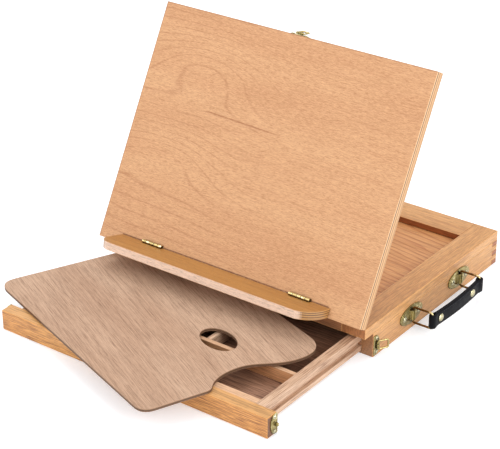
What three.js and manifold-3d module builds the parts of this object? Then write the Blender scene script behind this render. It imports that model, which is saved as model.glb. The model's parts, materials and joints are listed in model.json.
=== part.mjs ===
// Tabletop box easel: a flat wooden case with a tray in its top, a drawer that pulls out of the front,
// a drawing board hinged along the top front edge and propped by a strut, a folding ledge, a loose palette,
// brass hasps and a leather carrying handle.
// Millimetres. X runs along the hinge line, Y from the front of the case to its back, Z up.
// The parts are drawn with Y = 0 at the case's front face. The finished group is then moved so that
// its origin is the middle of the case's underside.

import * as THREE from "three";
import { mergeVertices } from "three/addons/utils/BufferGeometryUtils.js";
import Module from "manifold-3d";

// Case
const CASE_WIDTH = 340;
const CASE_DEPTH = 265;
const CASE_HEIGHT = 39;
const FRAME_THICKNESS = 11;
const SIDE_THICKNESS = 14;
const BACK_THICKNESS = 10;
const SIDE_RAIL_WIDTH = 28.5;
const FRONT_RAIL_WIDTH = 30;
const BACK_RAIL_WIDTH = 34;
const REBATE = 5;
const TRAY_FLOOR_THICKNESS = 3.75;
const BOTTOM_THICKNESS = 2.5;
const JOINT_GAP = 0.25;
const FINGER_HEIGHT = 5.5;
const FINGER_PITCH = 11.25;

// Drawer, drawn pulled out
const DRAWER_EXTENSION = 165;
const DRAWER_FRONT_THICKNESS = 15;
const DRAWER_TOP = 23;
const DRAWER_BOTTOM = 2.75;
const DRAWER_FRONT_BOTTOM = 0.5;
const DRAWER_OUTER_HALF = 155.5;
const DRAWER_WALL = 10;
const DRAWER_INNER_WALL = 8.5;
const DRAWER_REAR_Y = 84;
const DRAWER_BACK_WALL = 8;
const DRAWER_FLOOR_THICKNESS = 3;
const DIVIDER_THICKNESS = 5;
const DIVIDER_TOP = 21;
const LONG_DIVIDER_Y = -85.5;
const SHORT_DIVIDER_X = [-62, 33];
const GROOVE_BOTTOM = 8.25;
const GROOVE_TOP = 14.75;
const GROOVE_DEPTH = 4.5;
const RUNNER_CLEARANCE = 0.5;

// Board
const BOARD_TILT = THREE.MathUtils.degToRad(61);
const BOARD_LENGTH = 265;
const BOARD_THICKNESS = 12;
const BOARD_GAP = 0.3;

// Strut: equal distances hinge to pivot and pivot to foot keep the foot on a straight line
const STRUT_REACH = 111;
const STRUT_PIVOT_DROP = 3.2;
const FOOT_LINE_SLOPE = THREE.MathUtils.degToRad(1.02);
const STRUT_LEG_X = [36, 48];
const STRUT_HALF_THICKNESS = 2.2;
const FOOT_ROD_RADIUS = 1.25;
const FOOT_ROD_HALF_LENGTH = 58;
const RATCHET_X = [51.4, 58];
const RATCHET_Y = [50, 226];
const RATCHET_TEETH = 16;
const RATCHET_DEPTH = 1.4;
const FOOT_CLEARANCE = 0.35;

// Ledge
const LEDGE_CENTRE_X = -1.5;
const LEDGE_LEFT = -138;
const LEDGE_RIGHT = 133;
const LEDGE_DEPTH = 30;
const LEDGE_THICKNESS = 9;
const LEDGE_END_RADIUS = 31;
const LEDGE_LEFT_FLARE = 7;
const LEDGE_SAG = THREE.MathUtils.degToRad(21);
const LEDGE_AXIS_S = 11;
const LEDGE_AXIS_RISE = 2.2;

// Hinges
const KNUCKLE_COUNT = 5;
const KNUCKLE_GAP = 0.3;
const BOARD_HINGE = { x: 85, length: 50, radius: 2.2, bore: 1.35, pin: 1, leaf: 16, plate: 1.1 };
const LEDGE_HINGE = { x: 96, length: 26, radius: 1.9, bore: 1.15, pin: 0.8, leaf: 9.5, plate: 0.8 };
const MORTISE_CLEARANCE = 0.4;

// Palette
const PALETTE_BOTTOM = 23.3;
const PALETTE_THICKNESS = 3.7;
const PALETTE_TURN = THREE.MathUtils.degToRad(-19);

// Handle
const HANDLE_FRONT_Y = 86;
const HANDLE_SPAN = 95.5;
const HANDLE_Z = 17.75;
const HANDLE_REACH = 23.2;
const HANDLE_AXIS_OUT = 2.8;
const LOOP_HALF_HEIGHT = 9;
const LOOP_WIRE = 1.2;
const BARREL_HALF = 5.4;
const GRIP_HALF_HEIGHT = 7.6;
const GRIP_HALF_THICKNESS = 2.3;
const GRIP_END_RADIUS = 3.9;
const GRIP_BOW = 2.4;
const RIVET_Y = [12, 75];
const RIVET_RADIUS = 4.3;

// Hasps
const HASP_PLATE_WIDTH = 22;
const HASP_PLATE_REACH = 10.5;
const HASP_PLATE_THICKNESS = 1;
const HASP_AXIS_OUT = 2.3;
const HASP_AXIS_BACK = 5;
const HASP_LENGTH = 11.5;
const HASP_HALF_WIDTH = 4.6;
const HASP_WIRE = 0.8;
const SIDE_HASP_ANGLE = THREE.MathUtils.degToRad(32);
const LID_HASP_ANGLE = THREE.MathUtils.degToRad(162);
const SIDE_HASP_Z = 13;

const WOOD = { color: 0xd9a672, roughness: 0.55, metalness: 0 };
const PALE_WOOD = { color: 0xe0b898, roughness: 0.6, metalness: 0 };
const PINE = { color: 0xd8a070, roughness: 0.6, metalness: 0 };
const PLYWOOD = { color: 0xdfa67c, roughness: 0.5, metalness: 0 };
const LEDGE_WOOD = { color: 0xc99256, roughness: 0.5, metalness: 0 };
const GREY_PLY = { color: 0xa98872, roughness: 0.65, metalness: 0 };
const DARK_PLY = { color: 0x96694c, roughness: 0.7, metalness: 0 };
const BRASS = { color: 0xb59a52, roughness: 0.3, metalness: 1 };
const DARK_BRASS = { color: 0x7a5a2c, roughness: 0.35, metalness: 1 };
const STEEL = { color: 0xb8b8b4, roughness: 0.3, metalness: 1 };
const LEATHER = { color: 0x1d1a1e, roughness: 0.5, metalness: 0 };

const wasm = await Module();
wasm.setup();

const X_AXIS = new THREE.Vector3(1, 0, 0);
const Y_AXIS = new THREE.Vector3(0, 1, 0);
const Z_AXIS = new THREE.Vector3(0, 0, 1);
const SIDES = [["left", -1], ["right", 1]];

function toSolid(geometry) {
  const bare = geometry.index ? geometry.toNonIndexed() : geometry.clone();
  bare.deleteAttribute("normal");
  bare.deleteAttribute("uv");
  const merged = mergeVertices(bare, 1e-4);
  return new wasm.Manifold(new wasm.Mesh({
    numProp: 3,
    vertProperties: new Float32Array(merged.attributes.position.array),
    triVerts: new Uint32Array(merged.index.array),
  }));
}

function toGeometry(solid) {
  const mesh = solid.getMesh();
  const geometry = new THREE.BufferGeometry();
  geometry.setAttribute("position", new THREE.BufferAttribute(mesh.vertProperties, 3));
  geometry.setIndex(new THREE.BufferAttribute(mesh.triVerts, 1));
  geometry.computeVertexNormals();
  return geometry;
}

function join(geometries) {
  return toGeometry(geometries.map(toSolid).reduce((whole, piece) => whole.add(piece)));
}

function cut(geometry, cutters) {
  return toGeometry(cutters.map(toSolid).reduce((rest, cutter) => rest.subtract(cutter), toSolid(geometry)));
}

function block(x, y, z) {
  const geometry = new THREE.BoxGeometry(x[1] - x[0], y[1] - y[0], z[1] - z[0]);
  return geometry.translate((x[0] + x[1]) / 2, (y[0] + y[1]) / 2, (z[0] + z[1]) / 2);
}

function extrude(shape, depth, curveSegments = 8) {
  return new THREE.ExtrudeGeometry(shape, { depth, bevelEnabled: false, curveSegments });
}

function polygon(points) {
  return new THREE.Shape(points.map(([a, b]) => new THREE.Vector2(a, b)));
}

// A profile drawn in (y, z), swept from x[0] to x[1].
function sweepX(shape, x, curveSegments) {
  const basis = new THREE.Matrix4().makeBasis(Y_AXIS, Z_AXIS, X_AXIS);
  return extrude(shape, x[1] - x[0], curveSegments).applyMatrix4(basis).translate(x[0], 0, 0);
}

// A profile drawn in (x, z), swept from y[0] to y[1].
function sweepY(shape, y, curveSegments) {
  const basis = new THREE.Matrix4().makeBasis(X_AXIS, Z_AXIS, Y_AXIS.clone().negate());
  return extrude(shape, y[1] - y[0], curveSegments).applyMatrix4(basis).translate(0, y[1], 0);
}

function ringShape(radius, bore, y = 0, z = 0) {
  const shape = new THREE.Shape();
  shape.absarc(y, z, radius, 0, 2 * Math.PI);
  if (bore > 0) {
    const hole = new THREE.Path();
    hole.absarc(y, z, bore, 0, 2 * Math.PI);
    shape.holes.push(hole);
  }
  return shape;
}

function material(look) {
  return new THREE.MeshStandardMaterial(look);
}

function piece(parent, name, geometry, look) {
  const mesh = new THREE.Mesh(geometry, material(look));
  mesh.name = name;
  parent.add(mesh);
  return mesh;
}

const easel = new THREE.Group();
const halfWidth = CASE_WIDTH / 2;
const sideInner = halfWidth - SIDE_THICKNESS;
const frameBottom = CASE_HEIGHT - FRAME_THICKNESS;
const backInner = CASE_DEPTH - BACK_THICKNESS;
const trayTop = frameBottom + TRAY_FLOOR_THICKNESS;

// ---------------------------------------------------------------- case

// Ends of the side panels and the back panel interlock as finger joints.
function sidePanel(sign) {
  const step = backInner - JOINT_GAP;
  const points = [[DRAWER_FRONT_THICKNESS, 0], [step, 0]];
  for (let z = FINGER_HEIGHT + JOINT_GAP; z < frameBottom - FINGER_HEIGHT; z += FINGER_PITCH) {
    const top = z + FINGER_HEIGHT - JOINT_GAP;
    points.push([step, z], [CASE_DEPTH, z], [CASE_DEPTH, top], [step, top]);
  }
  points.push([step, frameBottom], [DRAWER_FRONT_THICKNESS, frameBottom]);
  const x = sign > 0 ? [sideInner, halfWidth] : [-halfWidth, -sideInner];
  return sweepX(polygon(points), x);
}

function backPanel() {
  const inner = sideInner - JOINT_GAP;
  const right = [];
  for (let z = 0; z < frameBottom; z += FINGER_PITCH) {
    right.push([inner, z], [halfWidth, z], [halfWidth, z + FINGER_HEIGHT], [inner, z + FINGER_HEIGHT]);
  }
  const outline = right.slice(1, -1);
  const left = outline.map(([x, z]) => [-x, z]).reverse();
  return sweepY(polygon([...outline, ...left]), [backInner, CASE_DEPTH]);
}

function topFrame() {
  const rebateInner = halfWidth - SIDE_RAIL_WIDTH;
  const railY = [FRONT_RAIL_WIDTH, CASE_DEPTH - BACK_RAIL_WIDTH];
  const z = [frameBottom, CASE_HEIGHT];
  const rebate = block(
    [-rebateInner - REBATE, rebateInner + REBATE],
    [railY[0] - REBATE, railY[1] + REBATE],
    [frameBottom - 1, trayTop + JOINT_GAP],
  );
  for (const [side, sign] of SIDES) {
    const x = sign > 0 ? [rebateInner, halfWidth] : [-halfWidth, -rebateInner];
    piece(easel, `top_rail_${side}`, cut(block(x, [0, CASE_DEPTH], z), [rebate]), WOOD);
  }
  const across = [-rebateInner, rebateInner];
  const mortises = SIDES.flatMap(([, sign]) => boardHingeMortise(sign * BOARD_HINGE.x, -1));
  const seated = mortises.map((cutter) => cutter.translate(0, 0, CASE_HEIGHT));
  const front = block(across, [0, railY[0]], z);
  piece(easel, "top_rail_front", cut(front, [rebate, ...seated]), WOOD);
  piece(easel, "top_rail_back", cut(block(across, [railY[1], CASE_DEPTH], z), [rebate]), WOOD);
  const floorX = rebateInner + REBATE - JOINT_GAP;
  const floorY = [railY[0] - REBATE + JOINT_GAP, railY[1] + REBATE - JOINT_GAP];
  piece(easel, "tray_floor", block([-floorX, floorX], floorY, [frameBottom, trayTop]), PINE);
}

// Sawtooth strip whose tooth tips lie just under the path of the strut's foot rod.
function ratchetStrip(sign) {
  const tip = (y) => CASE_HEIGHT - y * Math.tan(FOOT_LINE_SLOPE) - FOOT_ROD_RADIUS - FOOT_CLEARANCE;
  const pitch = (RATCHET_Y[1] - RATCHET_Y[0]) / RATCHET_TEETH;
  const points = [[RATCHET_Y[0], trayTop], [RATCHET_Y[1], trayTop]];
  for (let tooth = RATCHET_TEETH; tooth > 0; tooth -= 1) {
    const y = RATCHET_Y[0] + tooth * pitch;
    points.push([y, tip(y)], [y - pitch, tip(y - pitch) - RATCHET_DEPTH]);
  }
  const x = sign > 0 ? RATCHET_X : [-RATCHET_X[1], -RATCHET_X[0]];
  return sweepX(polygon(points), x);
}

function drawerRunner(sign) {
  const inner = DRAWER_OUTER_HALF - GROOVE_DEPTH + RUNNER_CLEARANCE;
  const x = sign > 0 ? [inner, sideInner] : [-sideInner, -inner];
  const y = [DRAWER_FRONT_THICKNESS + RUNNER_CLEARANCE, backInner - 1];
  return block(x, y, [GROOVE_BOTTOM + RUNNER_CLEARANCE, GROOVE_TOP - RUNNER_CLEARANCE]);
}

function buildCase() {
  for (const [side, sign] of SIDES) {
    piece(easel, `side_panel_${side}`, sidePanel(sign), WOOD);
    piece(easel, `ratchet_strip_${side}`, ratchetStrip(sign), WOOD);
    piece(easel, `drawer_runner_${side}`, drawerRunner(sign), PALE_WOOD);
  }
  piece(easel, "back_panel", backPanel(), WOOD);
  const bottomY = [DRAWER_FRONT_THICKNESS, backInner];
  piece(easel, "bottom_panel", block([-sideInner, sideInner], bottomY, [0, BOTTOM_THICKNESS]), DARK_PLY);
  topFrame();
}

// ---------------------------------------------------------------- hinges
// A hinge is drawn with its axis on X through the origin. Knuckles alternate between the two leaves.

function knuckles(hinge, first) {
  const pitch = hinge.length / KNUCKLE_COUNT;
  const spans = [];
  for (let index = first; index < KNUCKLE_COUNT; index += 2) {
    const start = -hinge.length / 2 + index * pitch;
    spans.push([start + KNUCKLE_GAP / 2, start + pitch - KNUCKLE_GAP / 2]);
  }
  return spans;
}

function hingeLeaf(hinge, first, plateY, plateZ, tabY, tabZ) {
  const plate = block([-hinge.length / 2, hinge.length / 2], plateY, plateZ);
  const spans = knuckles(hinge, first);
  const rings = spans.map((span) => sweepX(ringShape(hinge.radius, hinge.bore), span, 6));
  const tabs = spans.map((span) => block(span, tabY, tabZ));
  return join([plate, ...tabs, ...rings]);
}

function hingePin(hinge) {
  const half = hinge.length / 2;
  return sweepX(ringShape(hinge.pin, 0), [-half, half], 5);
}

function barrelMortise(hinge, x) {
  const half = hinge.length / 2 + MORTISE_CLEARANCE;
  return sweepX(ringShape(hinge.radius + MORTISE_CLEARANCE, 0), [x - half, x + half], 10);
}

// Pocket for one leaf and the barrel, in the wood above (up = 1) or below (up = -1) the axis.
function boardHingeMortise(x, up) {
  const half = BOARD_HINGE.length / 2 + MORTISE_CLEARANCE;
  const far = BOARD_HINGE.plate + (up > 0 ? BOARD_GAP : 0) + JOINT_GAP;
  const z = up > 0 ? [-1, far] : [-far, 1];
  const leaf = block([x - half, x + half], [0, BOARD_HINGE.leaf + JOINT_GAP], z);
  return [barrelMortise(BOARD_HINGE, x), leaf];
}

function buildBoardHinges(board) {
  const tabY = [1.7, 3];
  const plateY = [2.8, BOARD_HINGE.leaf];
  const lower = [-BOARD_HINGE.plate, 0];
  const upper = [BOARD_GAP, BOARD_GAP + BOARD_HINGE.plate];
  for (const [side, sign] of SIDES) {
    const onCase = piece(easel, `board_hinge_case_leaf_${side}`,
      hingeLeaf(BOARD_HINGE, 0, plateY, lower, tabY, lower), BRASS);
    onCase.position.set(sign * BOARD_HINGE.x, 0, CASE_HEIGHT);
    const pin = piece(easel, `board_hinge_pin_${side}`, hingePin(BOARD_HINGE), BRASS);
    pin.position.copy(onCase.position);
    const onBoard = piece(board, `board_hinge_board_leaf_${side}`,
      hingeLeaf(BOARD_HINGE, 1, plateY, upper, tabY, upper), BRASS);
    onBoard.position.x = sign * BOARD_HINGE.x;
  }
}

// ---------------------------------------------------------------- board, strut and ledge
// The board group's Y runs up the board from the hinge line and its Z stands out of the board's front.

const boardFront = BOARD_GAP + BOARD_THICKNESS;
const ledgeAxisZ = boardFront + LEDGE_AXIS_RISE;

function ledgeLeafPocket(sign) {
  const x = LEDGE_CENTRE_X + sign * LEDGE_HINGE.x;
  const half = LEDGE_HINGE.length / 2 + JOINT_GAP;
  const y = [LEDGE_AXIS_S - LEDGE_HINGE.leaf - JOINT_GAP, LEDGE_AXIS_S + 1.3];
  return block([x - half, x + half], y, [boardFront - 1.2, boardFront + 1]);
}

function buildBoard(board) {
  const panel = block([-halfWidth, halfWidth], [0, BOARD_LENGTH], [BOARD_GAP, boardFront]);
  const backPockets = SIDES.flatMap(([, sign]) => boardHingeMortise(sign * BOARD_HINGE.x, 1));
  const frontPockets = SIDES.map(([, sign]) => ledgeLeafPocket(sign));
  piece(board, "easel_board", cut(panel, [...backPockets, ...frontPockets]), PLYWOOD);
}

const pivotAngle = Math.asin(STRUT_PIVOT_DROP / STRUT_REACH);
const pivotY = STRUT_REACH * Math.cos(pivotAngle);

function strutBracket(sign) {
  const inner = STRUT_LEG_X[0] - 3;
  const outer = STRUT_LEG_X[1] + 3;
  const base = block([inner, outer], [-6, 6], [STRUT_PIVOT_DROP - 0.7, STRUT_PIVOT_DROP + BOARD_GAP]);
  const lug = new THREE.Shape();
  lug.moveTo(3, STRUT_PIVOT_DROP - 0.5);
  lug.lineTo(-3, STRUT_PIVOT_DROP - 0.5);
  lug.lineTo(-2.6, 0);
  lug.absarc(0, 0, 2.6, Math.PI, 2 * Math.PI);
  const lugs = [[inner + 0.4, inner + 2.4], [outer - 2.4, outer - 0.4]].map((x) => sweepX(lug, x, 5));
  const pin = sweepX(ringShape(1.2, 0), [inner + 1, outer - 1], 5);
  const bracket = join([base, ...lugs, pin]);
  return sign > 0 ? bracket : bracket.translate(-inner - outer, 0, 0);
}

function strutLeg(sign) {
  const leg = new THREE.Shape();
  leg.absarc(0, 0, STRUT_HALF_THICKNESS, Math.PI / 2, 1.5 * Math.PI);
  leg.absarc(STRUT_REACH, 0, STRUT_HALF_THICKNESS, -Math.PI / 2, Math.PI / 2);
  for (const y of [0, STRUT_REACH]) {
    const bore = new THREE.Path();
    bore.absarc(y, 0, 1.55, 0, 2 * Math.PI);
    leg.holes.push(bore);
  }
  const x = sign > 0 ? STRUT_LEG_X : [-STRUT_LEG_X[1], -STRUT_LEG_X[0]];
  return sweepX(leg, x, 6);
}

function buildStrut(board) {
  const strut = new THREE.Group();
  strut.position.set(0, pivotY, -STRUT_PIVOT_DROP);
  strut.rotation.x = -(2 * BOARD_TILT - pivotAngle + 2 * FOOT_LINE_SLOPE);
  board.add(strut);
  for (const [side, sign] of SIDES) {
    const bracket = piece(board, `strut_bracket_${side}`, strutBracket(sign), BRASS);
    bracket.position.copy(strut.position);
    piece(strut, `strut_leg_${side}`, strutLeg(sign), WOOD);
  }
  const gap = STRUT_LEG_X[0] - JOINT_GAP;
  piece(strut, "strut_crossbar", block([-gap, gap], [60, 74], [-2, 2]), WOOD);
  const reach = [-FOOT_ROD_HALF_LENGTH, FOOT_ROD_HALF_LENGTH];
  piece(strut, "strut_foot_rod", sweepX(ringShape(FOOT_ROD_RADIUS, 0, STRUT_REACH), reach, 5), STEEL);
}

function ledgeBody() {
  const sweep = Math.asin(LEDGE_DEPTH / LEDGE_END_RADIUS);
  const flared = LEDGE_LEFT - LEDGE_LEFT_FLARE;
  const plan = new THREE.Shape();
  plan.moveTo(LEDGE_LEFT, 0);
  plan.lineTo(LEDGE_RIGHT, 0);
  plan.absarc(LEDGE_RIGHT - LEDGE_END_RADIUS, 0, LEDGE_END_RADIUS, 0, sweep);
  plan.lineTo(flared + 13, LEDGE_DEPTH);
  plan.bezierCurveTo(flared + 5, LEDGE_DEPTH, flared - 1, LEDGE_DEPTH - 4, flared, LEDGE_DEPTH - 11);
  const out = new THREE.Vector3(0, -Math.sin(LEDGE_SAG), Math.cos(LEDGE_SAG));
  const down = new THREE.Vector3().crossVectors(X_AXIS, out);
  const body = extrude(plan, LEDGE_THICKNESS, 10);
  body.applyMatrix4(new THREE.Matrix4().makeBasis(X_AXIS, out, down));
  body.translate(0, -1, -LEDGE_AXIS_RISE);
  const backFace = BOARD_GAP - LEDGE_AXIS_RISE;
  const wide = [flared - 2, LEDGE_RIGHT + 1];
  const cutters = [block(wide, [-20, 10], [-20, backFace])];
  for (const [, sign] of SIDES) {
    const x = sign * LEDGE_HINGE.x;
    const reach = LEDGE_HINGE.length / 2 + JOINT_GAP;
    const leafY = [-LEDGE_HINGE.leaf - JOINT_GAP, 0];
    cutters.push(barrelMortise(LEDGE_HINGE, x));
    cutters.push(block([x - reach, x + reach], leafY, [-20, backFace + LEDGE_HINGE.plate + JOINT_GAP]));
  }
  return cut(body, cutters);
}

function buildLedge(board) {
  const ledge = new THREE.Group();
  ledge.position.set(LEDGE_CENTRE_X, LEDGE_AXIS_S, ledgeAxisZ);
  board.add(ledge);
  piece(ledge, "ledge", ledgeBody(), LEDGE_WOOD);
  const flush = -LEDGE_AXIS_RISE - 0.1;
  const sunk = [flush - LEDGE_HINGE.plate, flush];
  const backFace = BOARD_GAP - LEDGE_AXIS_RISE;
  const raised = [backFace, backFace + LEDGE_HINGE.plate];
  for (const [side, sign] of SIDES) {
    const fixed = hingeLeaf(LEDGE_HINGE, 0, [-LEDGE_HINGE.leaf, 1], sunk, [-1, 1], [sunk[0], -1.4]);
    const onBoard = piece(board, `ledge_hinge_board_leaf_${side}`, fixed, BRASS);
    onBoard.position.set(LEDGE_CENTRE_X + sign * LEDGE_HINGE.x, LEDGE_AXIS_S, ledgeAxisZ);
    const pin = piece(board, `ledge_hinge_pin_${side}`, hingePin(LEDGE_HINGE), BRASS);
    pin.position.copy(onBoard.position);
    const moving = hingeLeaf(LEDGE_HINGE, 1, [-LEDGE_HINGE.leaf, -2.3], raised, [-2.4, -1.25], raised);
    piece(ledge, `ledge_hinge_ledge_leaf_${side}`, moving, BRASS).position.x = sign * LEDGE_HINGE.x;
  }
}

// ---------------------------------------------------------------- drawer

function drawerSide(sign) {
  const outer = DRAWER_OUTER_HALF;
  const profile = [
    [outer - DRAWER_WALL, DRAWER_BOTTOM], [outer, DRAWER_BOTTOM], [outer, GROOVE_BOTTOM],
    [outer - GROOVE_DEPTH, GROOVE_BOTTOM], [outer - GROOVE_DEPTH, GROOVE_TOP], [outer, GROOVE_TOP],
    [outer, DRAWER_TOP], [outer - DRAWER_WALL, DRAWER_TOP],
  ];
  const placed = sign > 0 ? profile : profile.map(([x, z]) => [-x, z]).reverse();
  return sweepY(polygon(placed), [DRAWER_FRONT_THICKNESS - DRAWER_EXTENSION, DRAWER_REAR_Y]);
}

function buildDrawer() {
  const innerHalf = DRAWER_OUTER_HALF - DRAWER_WALL;
  const frontY = [-DRAWER_EXTENSION, DRAWER_FRONT_THICKNESS - DRAWER_EXTENSION];
  const across = [-innerHalf, innerHalf];
  const wallZ = [DRAWER_BOTTOM, DRAWER_TOP];
  const innerFront = frontY[1] + DRAWER_INNER_WALL;
  const innerBack = DRAWER_REAR_Y - DRAWER_BACK_WALL;
  const floorZ = [DRAWER_BOTTOM + JOINT_GAP, DRAWER_BOTTOM + JOINT_GAP + DRAWER_FLOOR_THICKNESS];
  const dividerZ = [floorZ[1], DIVIDER_TOP];
  const longY = [LONG_DIVIDER_Y, LONG_DIVIDER_Y + DIVIDER_THICKNESS];
  piece(easel, "drawer_front",
    block([-halfWidth, halfWidth], frontY, [DRAWER_FRONT_BOTTOM, DRAWER_TOP]), WOOD);
  piece(easel, "drawer_inner_wall", block(across, [frontY[1], innerFront], wallZ), PALE_WOOD);
  piece(easel, "drawer_back", block(across, [innerBack, DRAWER_REAR_Y], wallZ), PALE_WOOD);
  piece(easel, "drawer_floor", block(across, [innerFront, innerBack], floorZ), DARK_PLY);
  piece(easel, "drawer_divider_long", block(across, longY, dividerZ), PALE_WOOD);
  for (const [index, [side, sign]] of SIDES.entries()) {
    const x = SHORT_DIVIDER_X[index];
    piece(easel, `drawer_side_${side}`, drawerSide(sign), PALE_WOOD);
    piece(easel, `drawer_divider_short_${side}`,
      block([x, x + DIVIDER_THICKNESS], [longY[1], innerBack], dividerZ), PALE_WOOD);
  }
}

// ---------------------------------------------------------------- palette

function buildPalette() {
  const outline = new THREE.Shape();
  outline.moveTo(-134, -190.5);
  outline.lineTo(128, -193.5);
  outline.quadraticCurveTo(142.5, -193.5, 143.7, -179);
  outline.lineTo(147.5, -124);
  outline.quadraticCurveTo(147.5, -118, 143, -115);
  outline.bezierCurveTo(134, -108, 128, -92, 129.5, -74);
  outline.bezierCurveTo(131, -54, 150, -42, 150, -14);
  outline.bezierCurveTo(150, 4, 141, 15, 122, 15);
  outline.lineTo(-116, 15);
  outline.quadraticCurveTo(-134, 15, -136, -3);
  outline.lineTo(-152.8, -170);
  outline.quadraticCurveTo(-155.5, -190.5, -134, -190.5);
  const thumbHole = new THREE.Path();
  thumbHole.absellipse(74.8, -62.9, 24.7, 16.2, 0, 2 * Math.PI);
  outline.holes.push(thumbHole);
  const sheet = extrude(outline, PALETTE_THICKNESS, 10).rotateZ(PALETTE_TURN);
  piece(easel, "palette", sheet.translate(0, 0, PALETTE_BOTTOM), GREY_PLY);
}

// ---------------------------------------------------------------- hasps and handle

// Rectangular wire ring in the (reach, rise) plane: the inner leg stands on the axis.
function wireLoop(reach, halfHeight, radius, bend, steps, sides) {
  const corner = (a, b) => new THREE.Vector3(a, 0, b);
  const path = new THREE.CurvePath();
  const split = 0.2;
  const turn = (from, through, to) => path.add(new THREE.QuadraticBezierCurve3(from, through, to));
  const straight = (from, to) => path.add(new THREE.LineCurve3(from, to));
  const h = halfHeight;
  straight(corner(0, split), corner(0, h - bend));
  turn(corner(0, h - bend), corner(0, h), corner(bend, h));
  straight(corner(bend, h), corner(reach - bend, h));
  turn(corner(reach - bend, h), corner(reach, h), corner(reach, h - bend));
  straight(corner(reach, h - bend), corner(reach, bend - h));
  turn(corner(reach, bend - h), corner(reach, -h), corner(reach - bend, -h));
  straight(corner(reach - bend, -h), corner(bend, -h));
  turn(corner(bend, -h), corner(0, -h), corner(0, bend - h));
  straight(corner(0, bend - h), corner(0, -split));
  const section = new THREE.Shape();
  section.absarc(0, 0, radius, 0, 2 * Math.PI);
  return new THREE.ExtrudeGeometry(section, { steps, curveSegments: sides / 2, extrudePath: path });
}

// Domed screw or stud head standing on the plate face x = face.
function head(face, y, z, radius) {
  const dome = new THREE.LatheGeometry([
    new THREE.Vector2(0, -0.3), new THREE.Vector2(radius, -0.3), new THREE.Vector2(radius, 0.2),
    new THREE.Vector2(radius * 0.7, radius * 0.35), new THREE.Vector2(0, radius * 0.45),
  ], 12);
  return dome.rotateZ(-Math.PI / 2).translate(face, y, z);
}

// D-shaped plate in the plane x = 0..thickness: straight edge at y = 0, bowed edge towards +y.
function hairpinPlate() {
  const half = HASP_PLATE_WIDTH / 2;
  const shape = new THREE.Shape();
  shape.moveTo(0, -half);
  shape.lineTo(HASP_PLATE_REACH - 6, -half);
  const bow = HASP_PLATE_REACH + 2;
  shape.bezierCurveTo(bow, -half + 2, bow, half - 2, HASP_PLATE_REACH - 6, half);
  shape.lineTo(0, half);
  return sweepX(shape, [0, HASP_PLATE_THICKNESS], 10);
}

function haspBarrel() {
  const barrel = extrude(ringShape(1.8, 1.15, HASP_AXIS_OUT, HASP_AXIS_BACK), 5, 6);
  const foot = block([0.5, HASP_AXIS_OUT - 1.2], [HASP_AXIS_BACK - 1.5, HASP_AXIS_BACK + 1.5], [-2.5, 2.5]);
  return [barrel.translate(0, 0, -2.5), foot];
}

function haspPlate() {
  const screws = [-7.5, 7.5].map((z) => head(HASP_PLATE_THICKNESS, HASP_PLATE_REACH / 2 - 0.6, z, 2));
  return join([hairpinPlate(), ...haspBarrel(), ...screws]);
}

// Catch plate with the post that the wire loop drops over.
function catchPlate(postY) {
  const screws = [-7.6, 7.6].map((z) => head(HASP_PLATE_THICKNESS, HASP_PLATE_REACH / 2 - 0.6, z, 2));
  const post = block([0.5, 4.4], [postY, postY + 2], [-2, 2]);
  return join([hairpinPlate(), post, ...screws]);
}

function haspLoop() {
  return wireLoop(HASP_LENGTH, HASP_HALF_WIDTH, HASP_WIRE, 1.6, 36, 6);
}

// Frames in which a plate lies: u leaves the face, v runs away from the parting line, w = u x v.
function placeOn(mesh, origin, u, v) {
  const w = new THREE.Vector3().crossVectors(u, v);
  mesh.quaternion.setFromRotationMatrix(new THREE.Matrix4().makeBasis(u, v, w));
  mesh.position.copy(origin);
}

function placeLoop(mesh, origin, u, v, angle) {
  const axis = origin.clone().addScaledVector(u, HASP_AXIS_OUT).addScaledVector(v, HASP_AXIS_BACK);
  const reach = u.clone().multiplyScalar(Math.sin(angle));
  reach.addScaledVector(v, Math.cos(angle));
  const w = new THREE.Vector3().crossVectors(u, v);
  const side = new THREE.Vector3().crossVectors(w, reach);
  mesh.quaternion.setFromRotationMatrix(new THREE.Matrix4().makeBasis(reach, side, w));
  mesh.position.copy(axis);
}

// The post stands this far into the catch plate from its straight edge, just inside the closed loop.
const postSetBack = HASP_LENGTH - HASP_AXIS_BACK - HASP_WIRE - 0.6 - 2;

function buildSideHasps() {
  for (const [side, sign] of SIDES) {
    const u = X_AXIS.clone().multiplyScalar(sign);
    const parting = new THREE.Vector3(sign * halfWidth, DRAWER_FRONT_THICKNESS + 0.5, SIDE_HASP_Z);
    placeOn(piece(easel, `hasp_plate_${side}`, haspPlate(), BRASS), parting, u, Y_AXIS);
    placeLoop(piece(easel, `hasp_loop_${side}`, haspLoop(), BRASS), parting, u, Y_AXIS, SIDE_HASP_ANGLE);
    const drawerEdge = DRAWER_FRONT_THICKNESS - DRAWER_EXTENSION;
    const catchAt = new THREE.Vector3(sign * halfWidth, drawerEdge, SIDE_HASP_Z - 1);
    const catchMesh = piece(easel, `drawer_catch_${side}`, catchPlate(postSetBack - 0.5), BRASS);
    placeOn(catchMesh, catchAt, u, Y_AXIS.clone().negate());
  }
}

function buildTopHasp(board) {
  const origin = new THREE.Vector3(0, BOARD_LENGTH, BOARD_GAP + 0.5);
  placeOn(piece(board, "lid_hasp_plate", haspPlate(), BRASS), origin, Y_AXIS, Z_AXIS);
  placeLoop(piece(board, "lid_hasp_loop", haspLoop(), BRASS), origin, Y_AXIS, Z_AXIS, LID_HASP_ANGLE);
  const keeper = piece(easel, "lid_catch", catchPlate(postSetBack - 0.8), BRASS);
  placeOn(keeper, new THREE.Vector3(0, CASE_DEPTH, CASE_HEIGHT), Y_AXIS, Z_AXIS.clone().negate());
}

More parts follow.
